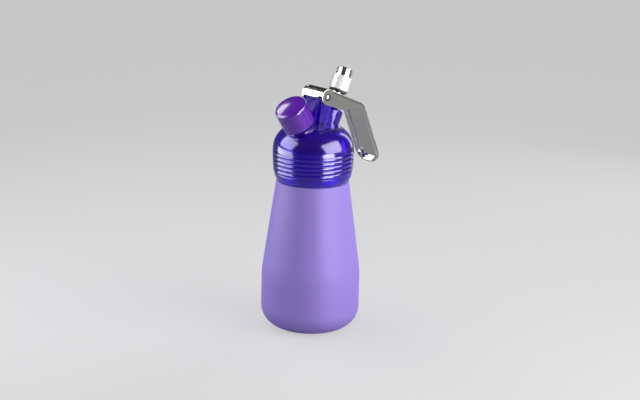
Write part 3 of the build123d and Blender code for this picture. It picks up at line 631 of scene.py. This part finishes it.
def mesh_piece(name: str, points: np.ndarray, quads: np.ndarray, sharp_deg: float = 32.0,
               weld: float = 1e-7) -> bpy.types.Object:
    """Makes an object from points and faces, merges its poles and points its faces outwards.

    Args:
        name: the piece's name.
        points: (..., 3) places in metres.
        quads: (m, 4) indices of the corners, counted through the points in order.
        sharp_deg: edges that turn by more than this stay sharp in the shading.
        weld: points closer than this, in metres, become one.

    Returns:
        The object, at the origin, with its place in its mesh.
    """
    mesh = bpy.data.meshes.new(name)
    mesh.from_pydata(points.reshape(-1, 3).tolist(), [], quads.reshape(-1, 4).tolist())
    work = bmesh.new()
    work.from_mesh(mesh)
    bmesh.ops.remove_doubles(work, verts=work.verts, dist=weld)
    bmesh.ops.recalc_face_normals(work, faces=work.faces)
    work.to_mesh(mesh)
    work.free()
    mesh.shade_smooth()
    mesh.set_sharp_from_angle(angle=math.radians(sharp_deg))
    piece = bpy.data.objects.new(name, mesh)
    bpy.context.scene.collection.objects.link(piece)
    return piece


def tube_quads(rings: int, sides: int) -> np.ndarray:
    """Faces of a tube: each joins two neighbours of a ring to the same two of the next ring.

    Args:
        rings: number of rings along the tube.
        sides: number of points of each ring, which is closed on itself.

    Returns:
        (m, 4) indices into the points, ring by ring.
    """
    ring, side = np.meshgrid(np.arange(rings - 1), np.arange(sides), indexing="ij")
    next_side = (side + 1) % sides
    corners = (ring * sides + side, (ring + 1) * sides + side,
               (ring + 1) * sides + next_side, ring * sides + next_side)
    return np.stack(corners, axis=-1).reshape(-1, 4)


@dataclass(frozen=True)
class AxisFrame:
    """A straight axis with two directions square to it, for pieces turned about it."""

    origin: Vector
    axis: Vector

    @property
    def basis(self) -> np.ndarray:
        """Three directions square to each other.

        Returns:
            Rows that are the side, the cross direction, which is near +Y, and the axis.
        """
        axis = np.array(self.axis.normalized())
        side = np.cross((0.0, 1.0, 0.0), axis)
        side /= np.linalg.norm(side)
        return np.stack((side, np.cross(axis, side), axis))

    @property
    def turn(self) -> Triple:
        """Euler angles that bring +Z onto the axis, for patterns that run round it."""
        return tuple(self.axis.to_track_quat("Z", "Y").to_euler())

    def place(self, local: np.ndarray) -> np.ndarray:
        """Turns (side, cross, along) coordinates into the frame's coordinates."""
        return np.array(self.origin) + local @ self.basis

    def span(self, piece: bpy.types.Object) -> Span:
        """Finds how far a CAD node reaches along the axis.

        Args:
            piece: the node's object.

        Returns:
            Its lowest and its highest place, in metres from the origin.
        """
        mesh = piece.data
        places = np.empty(len(mesh.vertices) * 3, np.float32)
        mesh.vertices.foreach_get("co", places)
        along = (places.reshape(-1, 3) - np.array(self.origin)) @ self.basis[2]
        return float(along.min()), float(along.max())


@dataclass(frozen=True)
class CoilSpring:
    """Coil spring whose end turns lie close, as a round tube carried along a helix.

    At turn angle a the middle of the wire is at mean_r (cos a, sin a). It rises by closed_pitch
    wire diameters a turn in the closed turns at each end, and evenly in the open turns between
    them. A moving average spreads the change of slope over easing_steps. Each end closes to a
    point, next to a ring with end_share of the wire's radius.
    """

    mean_r: float
    wire_r: float
    open_turns: float
    closed_turns: float = 0.9
    closed_pitch: float = 1.02
    steps_per_turn: int = 56
    easing_steps: int = 29
    sides: int = 14
    end_share: float = 0.85

    @property
    def turns(self) -> float:
        """All turns of the wire."""
        return self.open_turns + 2 * self.closed_turns

    def centre_line(self, angle: np.ndarray, low: float, high: float) -> np.ndarray:
        """Works out the middle of the wire.

        Args:
            angle: turn angle at each step, in radians.
            low: height of the middle of the wire at its start.
            high: height of the middle of the wire at its end.

        Returns:
            (n, 3) places about an axis along +Z.
        """
        closed_rise = self.closed_turns * 2 * self.wire_r * self.closed_pitch
        knots = (0.0, self.closed_turns, self.turns - self.closed_turns, self.turns)
        heights = (low, low + closed_rise, high - closed_rise, high)
        rise = np.interp(angle / (2 * math.pi), knots, heights)
        window = np.hanning(self.easing_steps)
        padded = np.pad(rise, self.easing_steps // 2, mode="reflect", reflect_type="odd")
        rise = np.convolve(padded, window / window.sum(), mode="valid")
        return np.stack((self.mean_r * np.cos(angle), self.mean_r * np.sin(angle), rise), axis=-1)

    def skin(self, angle: np.ndarray, centre: np.ndarray) -> np.ndarray:
        """Sets a ring of points square to the wire at each step, and closes both ends to a point.

        Args:
            angle: turn angle at each step, in radians.
            centre: (n, 3) places of the middle of the wire.

        Returns:
            (n, sides, 3) places.
        """
        tangent = np.gradient(centre, axis=0)
        tangent /= np.linalg.norm(tangent, axis=1, keepdims=True)
        outward = np.stack((np.cos(angle), np.sin(angle), np.zeros_like(angle)), axis=-1)
        across = np.cross(tangent, outward)
        around = np.linspace(0.0, 2 * math.pi, self.sides, endpoint=False)[:, None]
        ring = outward[:, None] * np.cos(around) + across[:, None] * np.sin(around)
        taper = np.ones(len(angle))
        taper[[0, -1]] = 0.0
        taper[[1, -2]] = self.end_share
        return centre[:, None] + self.wire_r * taper[:, None, None] * ring

    def build(self, name: str, line: AxisFrame, reach: Span) -> bpy.types.Object:
        """Makes the spring.

        Args:
            name: the piece's name.
            line: the spring's axis.
            reach: lowest and highest place of the spring along the axis.

        Returns:
            The spring's object.
        """
        angle = np.linspace(0.0, self.turns * 2 * math.pi, int(self.turns * self.steps_per_turn))
        centre = self.centre_line(angle, reach[0] + self.wire_r, reach[1] - self.wire_r)
        points = line.place(self.skin(angle, centre))
        return mesh_piece(name, points, tube_quads(len(angle), self.sides))


# ---------------------------------------------------------------- the dispenser


@dataclass
class MountLines:
    """The valve's axis and the charger port's axis."""

    valve: AxisFrame
    port: AxisFrame

    @classmethod
    def read(cls, record: dict) -> MountLines:
        """Finds both axes among the record's mounts.

        Args:
            record: the part's record, as the frame holds it.

        Returns:
            The axes.
        """
        mounts = {mount["name"]: mount for mount in record["mounts"]}
        lines = [AxisFrame(Vector(mounts[name]["pos_m"]), Vector(mounts[name]["axis"]))
                 for name in ("outlet_bore", "charger_port")]
        return cls(*lines)


@dataclass
class SubAssembly:
    """What every sub-assembly shares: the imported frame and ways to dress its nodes."""

    frame: dict
    pieces: list[str] = field(default_factory=list, init=False)

    def dress(self, material: bpy.types.Material, *nodes: str) -> None:
        """Gives CAD nodes one material in all their slots.

        Args:
            material: the finish.
            nodes: names of the nodes.
        """
        for node in nodes:
            slots = self.frame["nodes"][node].data.materials
            slots.clear()
            slots.append(material)
            self.pieces.append(node)

    def add(self, piece: bpy.types.Object, body: str, slot: str, material: bpy.types.Material,
            *replaced: str) -> None:
        """Lets a new piece ride on a body, in place of the CAD nodes that are named.

        Args:
            piece: the new object, already in place.
            body: the CAD body it moves with.
            slot: the record's material slot; not used.
            material: its finish.
            replaced: CAD nodes that it stands for.
        """
        piece.data.materials.append(material)
        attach(piece, body)
        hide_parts(*replaced)
        self.pieces.append(piece.name)


@dataclass
class Bottle(SubAssembly):
    """Lacquered bottle and the gasket in its mouth."""

    def build(self) -> None:
        """Dresses the bottle and its gasket."""
        self.dress(LACQUER.build("lavender_lacquer"), "bottle_shell")
        self.dress(SILICONE.build("gasket_silicone"), "head_gasket")


@dataclass
class Head(SubAssembly):
    """See-through head with the bushes, the ring and the spring's seat that are fixed in it."""

    lines: MountLines
    washer_steel: Colour = (0.60, 0.60, 0.60)

    def build(self) -> None:
        """Dresses the head's shell and what is fixed in it."""
        self.dress(VIOLET_CLEAR.build("violet_clear"), "head_shell")
        self.dress(ACETAL.build("bush_acetal"), "pivot_bushes", "valve_bush")
        self.dress(SILICONE.build("bush_silicone"), "bush_seal_ring")
        washer = TurnedMetal(self.washer_steel, self.lines.valve.turn)
        self.dress(washer.build("washer_steel"), "spring_washer")


@dataclass
class ChargerPort(SubAssembly):
    """Inlet stud with its needle, nut and seals, and the cap that covers it."""

    lines: MountLines
    stud_metal: Colour = (0.74, 0.64, 0.42)
    needle_steel: Colour = (0.66, 0.66, 0.67)

    def build(self) -> None:
        """Dresses the port's pieces."""
        self.dress(CAP_PURPLE.build("cap_purple"), "charger_port_cap")
        stud = TurnedMetal(self.stud_metal, self.lines.port.turn)
        self.dress(stud.build("stud_metal"), "inlet_stud", "inlet_lock_nut")
        needle = TurnedMetal(self.needle_steel, self.lines.port.turn)
        self.dress(needle.build("needle_steel"), "piercing_pin")
        silicone = SILICONE.build("port_silicone")
        self.dress(silicone, "inlet_seal_ring", "check_valve_sleeve", "cap_liner")


@dataclass
class Valve(SubAssembly):
    """Sprung stem with its nut, white sleeve and threaded tip."""

    lines: MountLines
    stem_steel: Colour = (0.62, 0.62, 0.62)
    nut_steel: Colour = (0.42, 0.42, 0.42)
    nut_roughness: float = 0.16
    wire_steel: Colour = (0.66, 0.66, 0.68)
    wire_roughness: float = 0.2
    wire_ring_phase: float = 900.0
    coil: CoilSpring = CoilSpring(mean_r=5.3 * MM, wire_r=0.55 * MM, open_turns=3.6)

    def build(self) -> None:
        """Dresses the stem's pieces and makes the coil spring."""
        turn = self.lines.valve.turn
        stem = TurnedMetal(self.stem_steel, turn)
        self.dress(stem.build("stem_steel"), "valve_stem", "valve_plug")
        nut = TurnedMetal(self.nut_steel, turn, self.nut_roughness)
        self.dress(nut.build("nut_steel"), "stem_nut")
        self.dress(SILICONE.build("valve_silicone"), "stem_seal_ring", "plug_seal")
        self.dress(ACETAL.build("washer_acetal"), "rocker_washer")
        self.dress(SLEEVE_WHITE.build("sleeve_white"), "nozzle_sleeve")
        self.dress(TIP_CHROME.build("tip_plating"), "nozzle_tip")
        self._spring()

    def _spring(self) -> None:
        """Makes the coil spring."""
        line = self.lines.valve
        low, high = line.span(self.frame["nodes"]["return_spring"])
        spring = self.coil.build("return_spring_coil", line, (low, high))
        wire = TurnedMetal(self.wire_steel, line.turn, self.wire_roughness, self.wire_ring_phase)
        self.add(spring, "head", "spring_steel", wire.build("spring_wire"), "return_spring")
        slide = next(joint for joint in self.frame["joints"] if joint["name"] == "valve_slide")
        keep = 1.0 - slide["range_m"][1] / (high - low)
        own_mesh(spring)


@dataclass
class Lever(SubAssembly):
    """Chrome lever and its rivet pin."""

    def build(self) -> None:
        """Dresses the lever and the pin."""
        self.dress(LEVER_CHROME.build("lever_plating"), "lever")
        self.dress(RIVET_CHROME.build("rivet_plating"), "pivot_pin")


# ---------------------------------------------------------------- studio


class Side(Enum):
    """Where a softbox stands, as a turn in degrees from the camera's side of the dispenser."""

    LEFT = -86.0
    RIGHT = 60.0
    LOW_RIGHT = 43.0
    FAR_RIGHT = 95.0
    BACK_LEFT = -135.0
    BACK_RIGHT = 140.0


class Use(Enum):
    """What a lamp gives: light on matte surfaces, or the shine that polished ones mirror."""

    FILL = "fill"
    GLEAM = "gleam"


@dataclass(frozen=True)
class Softbox:
    """A soft area lamp that looks at the dispenser; sizes and places are in metres."""

    use: Use
    side: Side
    distance: float
    height: float
    width: float
    tall: float
    radiance: float
    colour: Colour = (1.0, 1.0, 1.0)

    @property
    def power(self) -> float:
        """Watts that give the lamp its radiance over its area."""
        return self.radiance * math.pi * self.width * self.tall


# Tints of the lamps.
COOL = (0.96, 0.97, 1.0)
WARM = (1.0, 0.99, 0.97)
WARMEST = (1.0, 0.99, 0.96)


@dataclass
class Studio:
    """Pale floor, soft lamps and the camera; lengths are in metres."""

    camera_turn_deg: float = -45.0
    camera_distance: float = 1.270
    camera_height: float = 0.462
    aim_height: float = 0.100
    aim_aside: float = 0.00597
    roll_deg: float = 1.4
    lens_mm: float = 97.1
    sensor_mm: float = 36.0
    far_clip: float = 50.0
    lamp_aim_height: float = 0.11
    lamp_spread_deg: float = 150.0
    floor_half: float = 6.0
    world_colour: Colour = (0.97, 0.98, 1.0)
    world_level: float = 0.11
    mirrored_level: float = 0.045
    backdrop_level: float = 0.60
    ceiling_level: float = 0.70
    ceiling_spread_deg: float = 70.0
    ceiling_tilt_deg: Triple = (12.0, -8.0, 0.0)
    # Use, side, distance, height, width, tall, radiance and, where it isn't white, colour.
    boxes: tuple[Softbox, ...] = (
        Softbox(Use.FILL, Side.LEFT, 0.44, 0.25, 0.46, 0.42, 1.41, COOL),
        Softbox(Use.FILL, Side.RIGHT, 0.48, 0.25, 0.50, 0.44, 2.68, WARM),
        Softbox(Use.FILL, Side.BACK_LEFT, 0.50, 0.49, 0.24, 0.18, 5.0),
        Softbox(Use.FILL, Side.BACK_RIGHT, 0.60, 0.34, 0.20, 0.42, 2.5),
        Softbox(Use.GLEAM, Side.LEFT, 0.30, 0.298, 0.32, 0.235, 3.3, COOL),
        Softbox(Use.GLEAM, Side.LEFT, 0.30, 0.090, 0.32, 0.135, 3.9, COOL),
        Softbox(Use.GLEAM, Side.RIGHT, 0.33, 0.290, 0.36, 0.290, 4.7, WARM),
        Softbox(Use.GLEAM, Side.LOW_RIGHT, 0.33, 0.086, 0.19, 0.130, 8.0, WARM),
        Softbox(Use.GLEAM, Side.FAR_RIGHT, 0.33, 0.090, 0.16, 0.150, 0.14, WARMEST),
        Softbox(Use.GLEAM, Side.BACK_LEFT, 0.50, 0.61, 0.12, 0.070, 3.0),
        Softbox(Use.GLEAM, Side.BACK_RIGHT, 0.65, 0.30, 0.10, 0.50, 1.6),
    )

    def build(self) -> None:
        """Makes the floor, the world, the lamps and the camera."""
        self._floor()
        self._world()
        self._ceiling()
        for box in self.boxes:
            self._lamp(box)
        self._camera()
        bpy.context.scene.view_settings.view_transform = "Standard"

    def _toward(self, turn_deg: float) -> Vector:
        """Level direction from the dispenser, turned from the camera's side."""
        angle = math.radians(self.camera_turn_deg + turn_deg)
        return Vector((math.sin(angle), -math.cos(angle), 0.0))

    def _floor(self) -> None:
        """Lays a plain pale floor as one large square."""
        corners = np.array([(-1, -1, 0), (1, -1, 0), (1, 1, 0), (-1, 1, 0)], float)
        floor = mesh_piece("floor", corners * self.floor_half, np.array([[0, 1, 2, 3]]))
        floor.data.materials.append(PalePaper().build("floor_paper"))
        floor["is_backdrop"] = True

    def _world(self) -> None:
        """Gives a weak even light, mirrored darker by gloss, and a pale backdrop to the camera."""
        world = bpy.data.worlds.new("studio_world")
        world.use_nodes = True
        book = NodeBook(world.node_tree)
        background = world.node_tree.nodes["Background"]
        around = self.world_level - book.ray(Ray.GLOSSY) * (self.world_level - self.mirrored_level)
        level = book.larger(book.seen_plainly() * self.backdrop_level, around)
        book.feed(background.inputs["Color"], self.world_colour)
        book.feed(background.inputs["Strength"], level)
        bpy.context.scene.world = world

    def _ceiling(self) -> None:
        """Gives an even light from above, as from a white ceiling, that gloss doesn't mirror."""
        lamp = bpy.data.lights.new("ceiling_light", "SUN")
        lamp.energy = self.ceiling_level
        lamp.angle = math.radians(self.ceiling_spread_deg)
        holder = bpy.data.objects.new(lamp.name, lamp)
        holder.rotation_euler = tuple(math.radians(tilt) for tilt in self.ceiling_tilt_deg)
        holder.visible_glossy = False
        bpy.context.scene.collection.objects.link(holder)

    def _lamp(self, box: Softbox) -> None:
        """Makes one softbox that looks at the middle of the dispenser and serves its use alone.

        Args:
            box: the softbox.
        """
        lamp = bpy.data.lights.new(f"{box.use.value}_{box.side.name.lower()}", "AREA")
        lamp.shape = "RECTANGLE"
        lamp.size = box.width
        lamp.size_y = box.tall
        lamp.energy = box.power
        lamp.color = box.colour
        lamp.spread = math.radians(self.lamp_spread_deg)
        holder = bpy.data.objects.new(lamp.name, lamp)
        holder.location = self._toward(box.side.value) * box.distance + Vector((0, 0, box.height))
        aim = Vector((0, 0, self.lamp_aim_height)) - holder.location
        holder.rotation_euler = aim.to_track_quat("-Z", "Y").to_euler()
        holder.visible_camera = False
        holder.visible_glossy = box.use is Use.GLEAM
        holder.visible_diffuse = holder.visible_transmission = box.use is Use.FILL
        bpy.context.scene.collection.objects.link(holder)

    def _camera(self) -> None:
        """Places the camera by its turn, distance and height, with a slight roll."""
        camera = bpy.data.cameras.new("camera")
        camera.lens = self.lens_mm
        camera.sensor_width = self.sensor_mm
        camera.clip_end = self.far_clip
        eye = bpy.data.objects.new("camera", camera)
        toward = self._toward(0.0)
        right = Vector((-toward.y, toward.x, 0.0))
        eye.location = toward * self.camera_distance + Vector((0, 0, self.camera_height))
        aim = Vector((0, 0, self.aim_height)) + right * self.aim_aside - eye.location
        look = aim.to_track_quat("-Z", "Y").to_matrix().to_4x4()
        turned = look @ Matrix.Rotation(math.radians(self.roll_deg), 4, "Z")
        eye.rotation_euler = turned.to_euler()
        bpy.context.scene.collection.objects.link(eye)
        bpy.context.scene.camera = eye


def main() -> Box:
    """Builds every sub-assembly round the frame, and then the studio.

    Returns:
        The CAD model's box, measured before anything is added.
    """
    logging.basicConfig(level=logging.INFO, format="%(name)s: %(message)s")
    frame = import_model()
    cad_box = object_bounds()
    lines = MountLines.read(frame["record"])
    parts = (Bottle(frame), Head(frame, lines), ChargerPort(frame, lines), Valve(frame, lines),
             Lever(frame))
    for part in parts:
        part.build()
        for piece in part.pieces:
            LOG.info("%s finished %s", type(part).__name__, piece)
    Studio().build()
    return cad_box


if __name__ == "__main__":
    boxes = {"cad": main(), "visual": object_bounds()}
